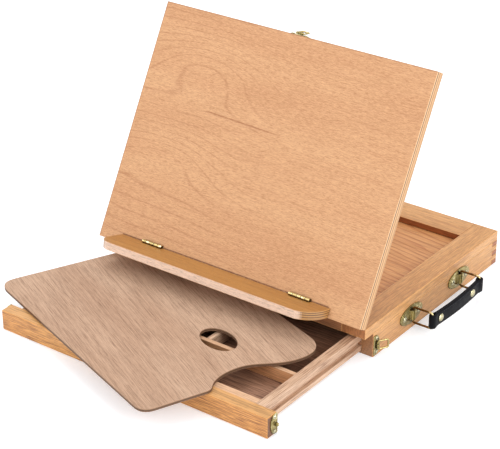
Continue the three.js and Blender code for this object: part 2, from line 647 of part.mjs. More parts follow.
function handlePlate() {
  const oval = new THREE.Shape();
  oval.absellipse(0, 0, 21, 10, 0, 2 * Math.PI);
  const plate = sweepX(oval, [0, 1.2], 14);
  const saddle = block([0.6, 1.2], [-2.6, 2.6], [-BARREL_HALF, BARREL_HALF]);
  const barrel = extrude(ringShape(2.4, 1.55, HANDLE_AXIS_OUT, 0), 2 * BARREL_HALF, 7);
  barrel.translate(0, 0, -BARREL_HALF);
  const screws = [-12.2, 12.2].map((y) => head(1.2, y, 0, 3));
  return join([plate, saddle, barrel, ...screws]);
}

function gripHalfThickness(y) {
  const fromEnd = Math.min(y, HANDLE_SPAN - y);
  const swell = Math.max(0, 1 - fromEnd / 12) ** 2;
  return GRIP_HALF_THICKNESS + (GRIP_END_RADIUS - GRIP_HALF_THICKNESS) * swell;
}

function gripCentre(y) {
  return GRIP_BOW * Math.sin((Math.PI * y) / HANDLE_SPAN) ** 0.8;
}

function gripStrap() {
  const steps = 24;
  const outline = new THREE.Shape();
  outline.absarc(0, 0, GRIP_END_RADIUS, Math.PI, 2 * Math.PI);
  for (let i = 1; i < steps; i += 1) {
    const y = (HANDLE_SPAN * i) / steps;
    outline.lineTo(gripCentre(y) + gripHalfThickness(y), y);
  }
  outline.absarc(0, HANDLE_SPAN, GRIP_END_RADIUS, 0, Math.PI);
  for (let i = steps - 1; i > 0; i -= 1) {
    const y = (HANDLE_SPAN * i) / steps;
    outline.lineTo(gripCentre(y) - gripHalfThickness(y), y);
  }
  for (const y of [0, HANDLE_SPAN]) {
    const eye = new THREE.Path();
    eye.absarc(0, y, LOOP_WIRE + 0.4, 0, 2 * Math.PI);
    outline.holes.push(eye);
  }
  const strap = extrude(outline, 2 * GRIP_HALF_HEIGHT, 6).translate(0, 0, -GRIP_HALF_HEIGHT);
  const holes = RIVET_Y.map((y) => squareToStrap(sweepX(ringShape(1.7, 0), [-9, 9], 5), y));
  return cut(strap, holes);
}

function squareToStrap(geometry, y) {
  const slope = (gripCentre(y + 1) - gripCentre(y - 1)) / 2;
  return geometry.rotateZ(-Math.atan(slope)).translate(gripCentre(y), y, 0);
}

// Rivet through the strap with a domed head on each side.
function gripRivet(y) {
  const reach = gripHalfThickness(y) + 0.7;
  const shank = sweepX(ringShape(1.2, 0), [-reach - 0.1, reach + 0.1], 5);
  const heads = [head(reach, 0, 0, RIVET_RADIUS), head(reach, 0, 0, RIVET_RADIUS).rotateZ(Math.PI)];
  return squareToStrap(join([shank, ...heads]), y);
}

function buildHandle() {
  const axisX = halfWidth + HANDLE_AXIS_OUT;
  for (const [end, y] of [["front", HANDLE_FRONT_Y], ["rear", HANDLE_FRONT_Y + HANDLE_SPAN]]) {
    piece(easel, `handle_plate_${end}`, handlePlate(), BRASS).position.set(halfWidth, y, HANDLE_Z);
    const loop = piece(easel, `handle_loop_${end}`,
      wireLoop(HANDLE_REACH, LOOP_HALF_HEIGHT, LOOP_WIRE, 2, 52, 8), DARK_BRASS);
    loop.position.set(axisX, y, HANDLE_Z);
  }
  const grip = new THREE.Group();
  grip.position.set(axisX + HANDLE_REACH, HANDLE_FRONT_Y, HANDLE_Z);
  easel.add(grip);
  piece(grip, "handle_grip", gripStrap(), LEATHER);
  piece(grip, "grip_rivet_front", gripRivet(RIVET_Y[0]), BRASS);
  piece(grip, "grip_rivet_rear", gripRivet(RIVET_Y[1]), BRASS);
}

// ---------------------------------------------------------------- assembly

easel.position.y = -CASE_DEPTH / 2;
const board = new THREE.Group();
board.position.z = CASE_HEIGHT;
board.rotation.x = BOARD_TILT;
easel.add(board);

buildCase();
buildBoardHinges(board);
buildBoard(board);
buildStrut(board);
buildLedge(board);
buildDrawer();
buildPalette();
buildSideHasps();
buildTopHasp(board);
buildHandle();

export default easel;
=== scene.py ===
"""Looks of a tabletop box easel: wood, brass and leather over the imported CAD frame.

Metres, +Z up, in the row frame. Materials and mesh code work in millimetres, and MM turns
those into metres.
"""

import json
import math

import bmesh
import bpy
from mathutils import Matrix, Vector


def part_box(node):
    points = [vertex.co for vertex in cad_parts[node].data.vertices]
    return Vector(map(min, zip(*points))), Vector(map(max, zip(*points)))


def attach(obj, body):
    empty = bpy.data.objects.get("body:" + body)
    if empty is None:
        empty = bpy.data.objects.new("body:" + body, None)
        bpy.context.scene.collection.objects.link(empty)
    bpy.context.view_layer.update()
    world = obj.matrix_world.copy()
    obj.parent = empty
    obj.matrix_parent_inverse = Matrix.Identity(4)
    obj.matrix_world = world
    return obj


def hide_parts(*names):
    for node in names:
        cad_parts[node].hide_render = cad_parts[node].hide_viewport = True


MM = 0.001
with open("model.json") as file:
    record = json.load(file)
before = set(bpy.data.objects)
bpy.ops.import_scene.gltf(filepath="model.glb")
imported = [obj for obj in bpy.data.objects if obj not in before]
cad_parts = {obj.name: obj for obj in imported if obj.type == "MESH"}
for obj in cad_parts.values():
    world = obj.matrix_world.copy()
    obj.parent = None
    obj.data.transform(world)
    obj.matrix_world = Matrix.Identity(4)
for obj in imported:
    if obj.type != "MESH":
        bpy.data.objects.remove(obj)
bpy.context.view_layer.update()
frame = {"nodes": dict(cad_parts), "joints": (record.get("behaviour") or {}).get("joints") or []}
scene = bpy.context.scene
nodes = frame["nodes"]

X = Vector((1, 0, 0))
Y = Vector((0, 1, 0))
Z = Vector((0, 0, 1))
PIVOT = {joint["name"]: Vector(joint["pos_m"]) for joint in frame["joints"] if "pos_m" in joint}

# ---------------------------------------------------------------- camera, light and floor

AZIMUTH = math.radians(36.83)
ELEVATION = math.radians(27.38)
ROLL = math.radians(-0.31)
CAMERA_AT = Vector((0.96239, -1.38084, 0.92165))
LENS = 124.47
SENSOR = 36
SKY_STRENGTH = 0.92
LIGHTS = {
    "key": dict(at=(-0.5, 0.5, 2.4), target=(0, 0, 0.05), size=1.2, power=13),
    "front": dict(at=(-1.2, -1.8, 1.5), target=(0, 0, 0.1), size=2.0, power=15),
    "fill": dict(at=(1.9, -0.6, 1.2), target=(0, 0, 0.05), size=1.2, power=18),
}


def make_camera():
    data = bpy.data.cameras.new("camera")
    data.lens = LENS
    data.sensor_width = SENSOR
    data.clip_start, data.clip_end = 0.05, 50
    back = Vector((
        math.sin(AZIMUTH) * math.cos(ELEVATION),
        -math.cos(AZIMUTH) * math.cos(ELEVATION),
        math.sin(ELEVATION),
    ))
    right = Vector((math.cos(AZIMUTH), math.sin(AZIMUTH), 0))
    up = back.cross(right)
    turned = right * math.cos(ROLL) + up * math.sin(ROLL)
    upward = up * math.cos(ROLL) - right * math.sin(ROLL)
    camera = bpy.data.objects.new("camera", data)
    turn = Matrix((turned, upward, back)).transposed().to_4x4()
    camera.matrix_world = Matrix.Translation(CAMERA_AT) @ turn
    scene.collection.objects.link(camera)
    scene.camera = camera


def area_light(name, at, target, size, power):
    data = bpy.data.lights.new(name, "AREA")
    data.shape = "DISK"
    data.size = size
    data.energy = power
    light = bpy.data.objects.new(name, data)
    light.location = at
    light.rotation_mode = "QUATERNION"
    light.rotation_quaternion = (Vector(target) - Vector(at)).to_track_quat("-Z", "Y")
    scene.collection.objects.link(light)


def make_studio():
    world = bpy.data.worlds.new("studio")
    scene.world = world
    world.use_nodes = True
    background = world.node_tree.nodes["Background"]
    background.inputs["Color"].default_value = (1, 1, 1, 1)
    background.inputs["Strength"].default_value = SKY_STRENGTH
    for name, light in LIGHTS.items():
        area_light(name, **light)
    scene.view_settings.view_transform = "Standard"
    scene.view_settings.look = "None"


make_camera()
make_studio()


# ---------------------------------------------------------------- materials

def tone(red, green, blue):
    """A colour given as 0 to 255 display values."""
    return tuple((c / 12.92 if c <= 0.04045 else ((c + 0.055) / 1.055) ** 2.4)
                 for c in (red / 255, green / 255, blue / 255)) + (1.0,)


class Look:
    """A node material while it is put together. Lengths inside it are millimetres."""

    def __init__(self, name):
        self.material = bpy.data.materials.new(name)
        self.material.use_nodes = True
        self.tree = self.material.node_tree
        self.tree.nodes.clear()
        output = self.tree.nodes.new("ShaderNodeOutputMaterial")
        self.shader = self.tree.nodes.new("ShaderNodeBsdfPrincipled")
        self.tree.links.new(self.shader.outputs[0], output.inputs[0])
        self.coordinates = self.tree.nodes.new("ShaderNodeTexCoord")

    def node(self, kind, inputs, output=0, **settings):
        made = self.tree.nodes.new("ShaderNode" + kind)
        for key, value in settings.items():
            setattr(made, key, value)
        for key, value in inputs.items():
            self.feed(made.inputs[key], value)
        return made.outputs[output]

    def feed(self, socket, value):
        if isinstance(value, bpy.types.NodeSocket):
            self.tree.links.new(value, socket)
        else:
            socket.default_value = value

    def set(self, **inputs):
        for key, value in inputs.items():
            self.feed(self.shader.inputs[key.replace("_", " ")], value)

    def math(self, operation, a, b=0.0):
        return self.node("Math", {0: a, 1: b}, operation=operation)

    def add(self, *terms):
        total = terms[0]
        for term in terms[1:]:
            total = self.math("ADD", total, term)
        return total

    def times(self, a, b):
        return self.math("MULTIPLY", a, b)

    def dot(self, vector, axis):
        return self.node("VectorMath", {0: vector, 1: axis}, "Value", operation="DOT_PRODUCT")

    def mix(self, factor, a, b):
        return self.node("Mix", {0: factor, 6: a, 7: b}, 2, data_type="RGBA")

    def remap(self, value, low, high, to_low=0.0, to_high=1.0):
        """Smooth step from to_low, where the value is low, to to_high. Low may be over high."""
        inputs = {"Value": value, "From Min": low, "From Max": high,
                  "To Min": to_low, "To Max": to_high}
        return self.node("MapRange", inputs, "Result", interpolation_type="SMOOTHSTEP")

    def noise(self, vector, cell, detail=2.0, rough=0.5, distortion=0.0):
        """Noise whose cells are about that many millimetres along each axis."""
        scaled = self.node("VectorMath", {0: vector, 1: tuple(1 / c for c in cell)},
                           operation="MULTIPLY")
        inputs = {"Vector": scaled, "Scale": 1.0, "Detail": detail, "Roughness": rough,
                  "Distortion": distortion}
        return self.node("TexNoise", inputs, "Fac")

    def frame(self, along, across, origin=(0, 0, 0)):
        """Millimetres along, across and out of the sheet from origin, as a vector and in parts."""
        along, across = Vector(along).normalized(), Vector(across).normalized()
        shifted = self.node("VectorMath", {0: self.coordinates.outputs["Object"], 1: tuple(origin)},
                            operation="SUBTRACT")
        parts = {i: self.times(self.dot(shifted, tuple(axis)), 1 / MM)
                 for i, axis in enumerate((along, across, along.cross(across)))}
        return self.node("CombineXYZ", parts), parts

    def facing(self, axis):
        """How far the surface faces along the axis, either way, 0 to 1."""
        turned = self.dot(self.coordinates.outputs["Normal"], tuple(Vector(axis).normalized()))
        return self.math("ABSOLUTE", turned)

    def edge(self, radius):
        """1 on an arris and 0 on a flat face."""
        soft = self.node("Bevel", {"Radius": radius * MM}, samples=4)
        true = self.node("NewGeometry", {}, "Normal")
        return self.remap(self.dot(soft, true), 0.99, 0.86)

    def open_sky(self, distance, samples):
        """1 in the open and 0 where something within that many millimetres covers the surface."""
        return self.node("AmbientOcclusion", {"Distance": distance * MM}, "AO", samples=samples)

    def bump(self, height, strength, distance):
        inputs = {"Height": height, "Strength": strength, "Distance": distance * MM}
        self.set(Normal=self.node("Bump", inputs))


def contour(look, field, width):
    """Thin lines where the field passes whole numbers. Width is a share of one step."""
    middle = look.math("ABSOLUTE", look.add(look.math("FRACT", field), -0.5))
    return look.remap(middle, 0.5 - width, 0.5)


def shaded(colour, factor):
    return tuple(min(1, c * factor) for c in colour[:3]) + (1.0,)


def layer_ramp(look, depth, plies):
    """Colour by depth in millimetres through a laminated sheet."""
    ramp = look.tree.nodes.new("ShaderNodeValToRGB")
    stops = ramp.color_ramp
    thickness = plies[-1][0]
    while len(stops.elements) < len(plies):
        stops.elements.new(1.0)
    for element, (level, layer) in zip(stops.elements, plies):
        element.position = level / thickness
        element.color = layer
    look.feed(ramp.inputs[0], look.math("DIVIDE", depth, thickness))
    return ramp.outputs[0]


CREVICE_REACH = 3


def wood(name, along, across, light, dark, origin=(0, 0, 0), seed=0.0,
         streak=0.35, streak_cell=(90, 2.2), dash=0.4, dash_cell=(6, 0.9), dash_colour=None,
         glint=0.0, figure=None, end=None, plies=None, face=None, face_streak=0.75,
         rough=0.5, coat=0.0, arris=0.35, crevice=0.85):
    """Grain runs along, the sheet spans along and across, and its layers stack on their cross
    product. Streaks are broad, dashes short, and glints lie between the dashes. A figure draws
    lines. End colours the end grain, plies the edges of a laminated sheet, and face tints the
    surfaces that look along one axis. Arris sets how strong a painted highlight on the arrises
    is, and crevice how strong a painted shade in the joints is, where little sky reaches. The
    painted joint shade is left off the drawer and the palette, which slide apart.
    """
    look = Look(name)
    place = Vector(origin) - Vector((seed, seed * 0.7, seed * 1.3))
    parts = look.frame(along, across, origin)[1]
    grain = look.frame(along, across, place)[0]
    deep = shaded(dark, 0.55)
    dash_colour = dash_colour or deep
    broad = look.noise(grain, (260, 40, 40), 2, 0.5, 0.3)
    colour = look.mix(look.remap(broad, 0.3, 0.7), light, dark)
    length, width = streak_cell
    streaks = look.noise(grain, (length, width, width), 4, 0.65, 0.2)
    shade = look.remap(streaks, 0.45, 0.68)
    colour = look.mix(look.times(shade, streak), colour, shaded(dark, 0.7))
    if figure:
        lines, line_colour = figure(look, grain, parts)
        colour = look.mix(lines, colour, line_colour)
    length, width = dash_cell
    dashes = look.noise(grain, (length, width, width), 2, 0.65)
    fine = look.noise(grain, (length * 0.4, width * 0.4, width * 0.4), 1, 0.5)
    pores = look.remap(dashes, 0.5, 0.68)
    colour = look.mix(look.times(pores, dash), colour, dash_colour)
    colour = look.mix(look.times(look.remap(fine, 0.52, 0.7), dash * 0.6), colour, dash_colour)
    if glint:
        bright = look.times(look.remap(dashes, 0.48, 0.34), glint)
        colour = look.mix(bright, colour, shaded(light, 1.25))
    height = look.add(look.times(shade, 0.4), look.times(pores, -1.0), look.times(fine, -0.6))
    if end:
        rings = look.noise(grain, (60, 1.6, 5.5), 3, 0.6, 0.3)
        specks = look.remap(look.noise(grain, (20, 0.6, 0.6), 1, 0.5), 0.5, 0.66)
        sawn = look.mix(look.remap(rings, 0.35, 0.7), end, shaded(end, 0.6))
        sawn = look.mix(look.times(specks, 0.4), sawn, deep)
        colour = look.mix(look.remap(look.facing(along), 0.6, 0.8), colour, sawn)
    if plies:
        wander = look.times(look.add(look.noise(grain, (60, 60, 4), 2), -0.5), 0.35)
        layers = layer_ramp(look, look.add(parts[2], wander), plies)
        fibre = look.remap(look.noise(grain, (1.1, 1.1, 0.5), 3, 0.7), 0.45, 0.7)
        layers = look.mix(look.times(fibre, 0.4), layers, deep)
        edge_on = look.remap(look.facing(Vector(along).cross(Vector(across))), 0.75, 0.55)
        colour = look.mix(edge_on, colour, layers)
    if face:
        axis, face_colour = face
        pale, deep_face = shaded(face_colour, 1.12), shaded(face_colour, 0.55)
        tint = look.mix(look.times(shade, face_streak), pale, deep_face)
        tint = look.mix(look.times(pores, 0.7), tint, shaded(face_colour, 0.45))
        bright = look.times(look.remap(fine, 0.5, 0.3), 0.5)
        tint = look.mix(bright, tint, shaded(face_colour, 1.3))
        toward = look.dot(look.coordinates.outputs["Normal"], tuple(Vector(axis).normalized()))
        colour = look.mix(look.remap(toward, 0.85, 0.95), colour, tint)
    if arris:
        # Painted highlight along the arrises.
        painted_highlight = look.times(look.edge(0.5 + arris), arris)
        colour = look.mix(painted_highlight, colour, shaded(light, 1.45))
    if crevice:
        # Painted shade in the joints, where little sky reaches the surface.
        crevice_shade = look.remap(look.open_sky(CREVICE_REACH, 4), 0.62, 0.3, 0, crevice)
        colour = look.mix(crevice_shade, colour, shaded(dark, 0.28))
    look.set(Base_Color=colour, Coat_Weight=coat, Coat_Roughness=0.3,
             Roughness=look.remap(streaks, 0.3, 0.7, rough - 0.05, rough + 0.1))
    look.bump(height, 0.25, 0.12)
    return look.material


def metal(name, colour, painted_highlight, rough=0.28, tarnish_and_dark_reflection=0.6, crevice=4, highlight_from=None):
    """Metal with darker patches of tarnish and painted dark reflection, lighter patches of painted
    reflection, painted shade on the faces that look down and in crevices, and a painted
    highlight on its arrises. Crevice is the reach of the crevice shade. Past the given distance
    along X, in millimetres, it carries a painted highlight.
    """
    look = Look(name)
    place, parts = look.frame(X, Y)
    cloud = look.noise(place, (4, 4, 4), 3, 0.6)
    scratches = look.noise(place, (0.6, 0.6, 6), 2, 0.6)
    # Darker patches: tarnish and painted dark reflection.
    body = look.mix(look.remap(cloud, 0.42, 0.62), colour, shaded(colour, tarnish_and_dark_reflection))
    # Lighter patches: painted reflection.
    body = look.mix(look.times(look.remap(cloud, 0.42, 0.3), 0.8), body, painted_highlight)
    # Past the given distance along X: a painted highlight.
    if highlight_from:
        body = look.mix(look.remap(parts[0], highlight_from, highlight_from + 2.5), body, painted_highlight)
    # Painted shade on the faces that look down.
    upward = look.dot(look.coordinates.outputs["Normal"], (0, 0, 1))
    body = look.mix(look.remap(upward, 0.35, -0.5), body, shaded(colour, 0.4))
    # Painted highlight on the arrises.
    shine = look.mix(look.times(look.edge(0.35), 0.7), body, painted_highlight)
    # Painted shade in crevices, where little sky reaches the surface.
    crevice_shade = look.remap(look.open_sky(crevice, 6), 0.85, 0.35)
    shine = look.mix(crevice_shade, shine, shaded(colour, 0.06))
    look.set(Base_Color=shine, Metallic=1.0,
             Roughness=look.remap(cloud, 0.3, 0.75, rough - 0.06, rough + 0.12))
    look.bump(scratches, 0.12, 0.05)
    return look.material


def leather(name, colour, painted_highlight):
    """Pebbled hide with a painted sheen on its arrises."""
    look = Look(name)
    place, _ = look.frame(X, Y)
    cells = look.node("TexVoronoi", {"Vector": place, "Scale": 1.4, "Randomness": 0.9}, "Distance")
    creases = look.remap(look.noise(place, (1.6, 5, 1.6), 3, 0.6), 0.45, 0.62)
    cloud = look.noise(place, (9, 9, 9), 3, 0.6)
    body = look.mix(look.remap(cloud, 0.3, 0.7), colour, shaded(colour, 1.7))
    body = look.mix(look.times(creases, 0.35), body, shaded(colour, 0.5))
    # Painted sheen along the arrises.
    body = look.mix(look.times(look.edge(0.5), 0.6), body, painted_highlight)
    look.set(Base_Color=body, Roughness=look.remap(cloud, 0.3, 0.7, 0.42, 0.6),
             Specular_IOR_Level=0.1)
    look.bump(look.add(cells, look.times(creases, -0.6)), 0.35, 0.12)
    return look.material


BOARD_ORIGIN = PIVOT["board_tilt"]
TILT = math.radians(61)
BOARD_UP = Vector((0, math.cos(TILT), math.sin(TILT)))
BOARD_OUT = Vector((0, -math.sin(TILT), math.cos(TILT)))
STRUT_ALONG = Vector((0, 0.51, -0.86))
LEDGE_SLOPE = math.radians(8)
LEDGE_BACK = Vector((0, math.cos(LEDGE_SLOPE), -math.sin(LEDGE_SLOPE)))
LEDGE_UP = X.cross(LEDGE_BACK)

# Places on the board in millimetres, from its middle along X and from its lower edge upwards.
BOARD_HALF_WIDTH = 170
BOARD_HEIGHT = 265
UPPER_ARCH = dict(centre=(-92, 210), size=(78, 36))
LOWER_ARCH = dict(centre=(-118, 106), size=(76, 30))
CHECK_HEIGHT = 160.5
LEDGE_LINE = 10.2
LEDGE_ENDS = (-140, 130)


def hill(look, parts, centre, size):
    """A rounded bump, 1 at its centre, in the plane of the sheet."""
    offsets = [look.math("POWER", look.math("DIVIDE", look.add(parts[i], -centre[i]), size[i]), 2.0)
               for i in (0, 1)]
    return look.math("EXPONENT", look.times(look.add(*offsets), -1.0))


def veneer_figure(look, grain, parts):
    """Lines of a peeled sheet: two arches at the left and a drying check. A painted shadow darkens
    a thin line along the ledge's back edge, and painted shade the left and top rims.
    """
    drift = look.noise(grain, (170, 60, 60), 2, 0.5, 0.3)
    field = look.add(
        look.times(parts[1], 1 / 12.5),
        look.times(hill(look, parts, **UPPER_ARCH), -3.9),
        look.times(hill(look, parts, **LOWER_ARCH), -2.6),
        look.times(drift, 1.5), look.times(parts[0], 0.006), 8.0,
    )
    broken = look.remap(look.noise(grain, (46, 8, 8), 3, 0.6), 0.3, 0.5)
    left = look.remap(parts[0], 40.0, -90.0, 0.3, 1.0)
    lines = look.times(look.times(look.times(contour(look, field, 0.11), broken), left), 0.5)
    slanted = look.add(parts[1], look.times(parts[0], 0.03), -CHECK_HEIGHT)
    reach = look.times(look.remap(parts[0], -84.0, -76.0), look.remap(parts[0], 30.0, -10.0))
    crack = look.remap(look.math("ABSOLUTE", slanted), 1.2, 0.4)
    check = look.times(look.times(crack, reach), 0.95)
    # Painted shadow: a thin dark line along the ledge's back edge. Painted shade: the left and top
    # rims.
    off_ledge = look.math("ABSOLUTE", look.add(parts[1], -LEDGE_LINE))
    low, high = LEDGE_ENDS
    along_ledge = look.times(look.remap(parts[0], low - 1.0, low + 1.0),
                             look.remap(parts[0], high + 1.0, high - 1.0))
    ledge_shadow = look.times(look.remap(off_ledge, 1.6, 0.7), along_ledge)
    rim = look.math("MAXIMUM",
                    look.remap(parts[0], 1.6 - BOARD_HALF_WIDTH, 0.5 - BOARD_HALF_WIDTH),
                    look.remap(parts[1], BOARD_HEIGHT - 1.6, BOARD_HEIGHT - 0.5))
    ledge_and_rim_shade = look.math("MAXIMUM", look.times(ledge_shadow, 0.95), look.times(rim, 0.6))
    marks = look.math("MAXIMUM", look.math("MAXIMUM", lines, check), ledge_and_rim_shade)
    return marks, look.mix(ledge_and_rim_shade, tone(160, 104, 64), tone(100, 58, 24))


def pine_figure(look, grain, parts):
    """Year rings 8 mm apart that deepen and then break off."""
    drift = look.noise(grain, (260, 30, 30), 2, 0.5, 0.2)
    field = look.add(look.times(parts[1], 1 / 8.0), look.times(parts[0], 0.02),
                     look.times(drift, 3.0), 20.0)
    phase = look.math("FRACT", field)
    line = look.times(look.remap(phase, 0.5, 0.94), look.remap(phase, 1.0, 0.95))
    return look.times(line, 0.8), tone(164, 98, 54)


def beech_figure(look, grain, parts):
    """Year rings 7 mm apart, fainter than the pine's."""
    drift = look.noise(grain, (220, 22, 22), 2, 0.5, 0.2)
    field = look.add(look.times(parts[1], 1 / 7.0), look.times(drift, 4.0), 20.0)
    phase = look.math("FRACT", field)
    line = look.times(look.remap(phase, 0.55, 0.93), look.remap(phase, 1.0, 0.94))
    return look.times(line, 0.38), tone(168, 108, 62)


PALETTE_TURN = math.radians(-27)
PALETTE_GRAIN = Matrix.Rotation(PALETTE_TURN, 3, "Z") @ X
PALETTE_ACROSS = Matrix.Rotation(PALETTE_TURN, 3, "Z") @ Y
PALETTE_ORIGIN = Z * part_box("palette")[0].z
# Colours of the plies by their height in millimetres through the sheet.
PALETTE_PLIES = [(0.0, tone(96, 68, 46)), (1.1, tone(126, 92, 64)), (1.3, tone(80, 54, 36)),
                 (2.3, tone(84, 58, 38)), (2.6, tone(140, 106, 78)), (3.7, tone(158, 122, 94))]
BOARD_PLIES = [(0.0, tone(132, 92, 58)), (0.8, tone(194, 148, 102)), (3.4, tone(188, 142, 96)),
               (3.7, tone(216, 170, 120)), (5.5, tone(216, 170, 120)), (5.8, tone(172, 124, 80)),
               (7.4, tone(178, 130, 86)), (7.7, tone(226, 182, 132)), (9.3, tone(222, 176, 126)),
               (9.5, tone(116, 76, 46)), (11.0, tone(124, 82, 50)), (11.3, tone(244, 210, 164)),
               (12.3, tone(236, 196, 148))]
LEDGE_ORIGIN = PIVOT["ledge_fold"] - LEDGE_UP * 0.010
LEDGE_PLIES = [(0.0, tone(172, 124, 70)), (1.5, tone(184, 136, 78)), (1.7, tone(96, 62, 34)),
               (2.4, tone(96, 62, 34)), (2.6, tone(188, 140, 82)), (4.1, tone(180, 132, 76)),
               (4.3, tone(90, 58, 32)), (5.0, tone(90, 58, 32)), (5.2, tone(188, 140, 82)),
               (6.4, tone(182, 134, 78)), (6.6, tone(96, 62, 34)), (7.2, tone(96, 62, 34)),
               (7.4, tone(192, 144, 86)), (9.0, tone(196, 148, 90))]


def make_materials():
    case = dict(light=tone(211, 157, 98), dark=tone(195, 139, 81), rough=0.42, coat=0.12,
                figure=beech_figure, dash=0.5, dash_cell=(13, 1.1), glint=0.4)
    warm_end, brown_end = tone(200, 128, 78), tone(168, 100, 58)
    return {
        "rail_side": wood(
            "rail_side", Y, X, seed=0.31, streak=0.5, end=tone(172, 110, 66), arris=0.9, **case),
        # Its faces that look forwards, the back rail's inner wall among them, are tinted darker as
        # painted shade.
        "rail_cross": wood(
            "rail_cross", X, Y, seed=2.3, streak=0.5, end=brown_end,
            face=(-Y, tone(146, 84, 46)), **case),
        "rail_front": wood(
            "rail_front", X, Y, seed=1.7, streak=0.5, end=warm_end,
            face=(-Y, tone(158, 106, 70)), arris=0.7, **case),
        "side": wood(
            "side", Y, Z, seed=0.9, streak=0.55, end=brown_end,
            face=(-Y, tone(146, 100, 62)), arris=0.8, **case),
        "strut": wood("strut", STRUT_ALONG, X, seed=4.9, streak=0.45, end=warm_end, **case),
        "back": wood("back", X, Z, seed=2.9, streak=0.45, end=brown_end, **case),
        "drawer_front": wood(
            "drawer_front", X, Z, tone(200, 142, 74), tone(190, 124, 56), seed=4.1,
            streak=0.5, streak_cell=(110, 2.2), dash=0.85, dash_cell=(22, 1.15),
            dash_colour=tone(116, 62, 22), glint=1.0, end=tone(108, 62, 30),
            face=(Z, tone(200, 150, 94)), rough=0.4, coat=0.15, arris=1.0, crevice=0),
        "pale": wood(
            "pale", Y, Z, tone(216, 184, 156), tone(198, 160, 130), seed=5.3,
            streak=0.8, streak_cell=(80, 1.0), dash=0.75, dash_cell=(32, 1.3),
            dash_colour=tone(132, 92, 68), glint=0.3, end=tone(180, 128, 92), rough=0.6,
            crevice=0),
        "pale_cross": wood(
            "pale_cross", X, Z, tone(222, 184, 150), tone(204, 160, 124), seed=6.1,
            streak=0.7, streak_cell=(80, 1.1), dash=0.6, dash_cell=(24, 1.2), glint=0.3,
            end=tone(176, 126, 92), face=(-Y, tone(198, 144, 100)), rough=0.6, crevice=0),
        "pine": wood(
            "pine", X, Y, tone(212, 156, 102), tone(198, 138, 84), seed=7.7, streak=0.4,
            dash=0.5, dash_cell=(26, 1.2), glint=0.3, figure=pine_figure),
        "dark_ply": wood(
            "dark_ply", X, Y, tone(167, 124, 98), tone(136, 97, 73), seed=8.3,
            streak=0.9, streak_cell=(60, 1.4), dash=0.9, dash_cell=(26, 1.2), glint=0.6,
            rough=0.65),
        "board": wood(
            "board", X, BOARD_UP, tone(206, 157, 112), tone(196, 144, 100), BOARD_ORIGIN,
            streak=0.28, streak_cell=(46, 1.5), dash=0.62, dash_cell=(4.2, 0.5),
            dash_colour=tone(160, 102, 60), glint=0.4, figure=veneer_figure,
            plies=BOARD_PLIES, coat=0.05),
        "ledge": wood(
            "ledge", X, LEDGE_BACK, tone(178, 126, 65), tone(166, 112, 54), LEDGE_ORIGIN,
            seed=9.1, streak=0.3, dash=0.5, dash_cell=(7, 0.5), glint=0.2, plies=LEDGE_PLIES,
            face=(-LEDGE_BACK, tone(222, 192, 170)), face_streak=0.3, rough=0.35, coat=0.3,
            arris=0.6),
        "palette": wood(
            "palette", PALETTE_GRAIN, PALETTE_ACROSS, tone(196, 163, 137),
            tone(180, 145, 119), PALETTE_ORIGIN, seed=3.3, streak=0.4, streak_cell=(130, 0.9),
            dash=0.75, dash_cell=(26, 0.45), dash_colour=tone(118, 86, 64), glint=0.3,
            plies=PALETTE_PLIES, rough=0.7, crevice=0),
        "brass": metal("brass", tone(176, 158, 98), tone(252, 244, 206), tarnish_and_dark_reflection=0.7),
        "pale_brass": metal(
            "pale_brass", tone(222, 212, 170), tone(255, 252, 236), 0.24, tarnish_and_dark_reflection=0.75),
        "bright_brass": metal(
            "bright_brass", tone(214, 192, 132), tone(255, 246, 214), 0.22, tarnish_and_dark_reflection=0.7,
            crevice=2.2),
        # The wire carries a painted highlight past 191 mm along X, at its bends by the strap.
        "dark_brass": metal(
            "dark_brass", tone(128, 94, 54), tone(236, 216, 160), 0.3, highlight_from=191),
        "steel": metal("steel", tone(190, 190, 188), tone(240, 240, 240)),
        "leather": leather("leather", tone(9, 8, 12), tone(64, 64, 72)),
        "thread": leather("thread", tone(26, 26, 30), tone(70, 72, 78)),
    }


LOOKS = make_materials()
NODE_LOOKS = {
    "rail_side": ["top_rail_left", "top_rail_right", "ratchet_strip_left", "ratchet_strip_right"],
    "rail_front": ["top_rail_front"],
    "rail_cross": ["top_rail_back", "strut_crossbar"],
    "side": ["side_panel_left", "side_panel_right"],
    "strut": ["strut_leg_left", "strut_leg_right"],
    "back": ["back_panel"],
    "drawer_front": ["drawer_front"],
    "pale": ["drawer_side_left", "drawer_side_right", "drawer_runner_left", "drawer_runner_right",
             "drawer_divider_short_left", "drawer_divider_short_right"],
    "pale_cross": ["drawer_inner_wall", "drawer_back", "drawer_divider_long"],
    "pine": ["tray_floor"],
    "dark_ply": ["bottom_panel", "drawer_floor"],
    "board": ["easel_board"],
    "ledge": ["ledge"],
    "palette": ["palette"],
    "steel": ["strut_foot_rod"],
}


def dress(name, material):
    node = nodes[name]
    node.data.materials.clear()
    node.data.materials.append(material)


def soften(name, width):
    """Rounds a wooden CAD node's arrises. Its own mesh stays as it is."""
    node = nodes[name]
    weld = node.modifiers.new("weld", "WELD")
    weld.merge_threshold = 1e-5
    flat = node.modifiers.new("flat", "DECIMATE")
    flat.decimate_type = "DISSOLVE"
    flat.angle_limit = math.radians(0.5)
    bevel = node.modifiers.new("arris", "BEVEL")
    bevel.width = width * MM
    bevel.segments = 2
    bevel.limit_method = "ANGLE"
    bevel.angle_limit = math.radians(35)
    bevel.harden_normals = True


ARRIS = 0.5
dressed = set()
for look_name, names in NODE_LOOKS.items():
    for node_name in names:
        dress(node_name, LOOKS[look_name])
        dressed.add(node_name)
        if look_name != "steel":
            soften(node_name, ARRIS)


# ---------------------------------------------------------------- mesh code

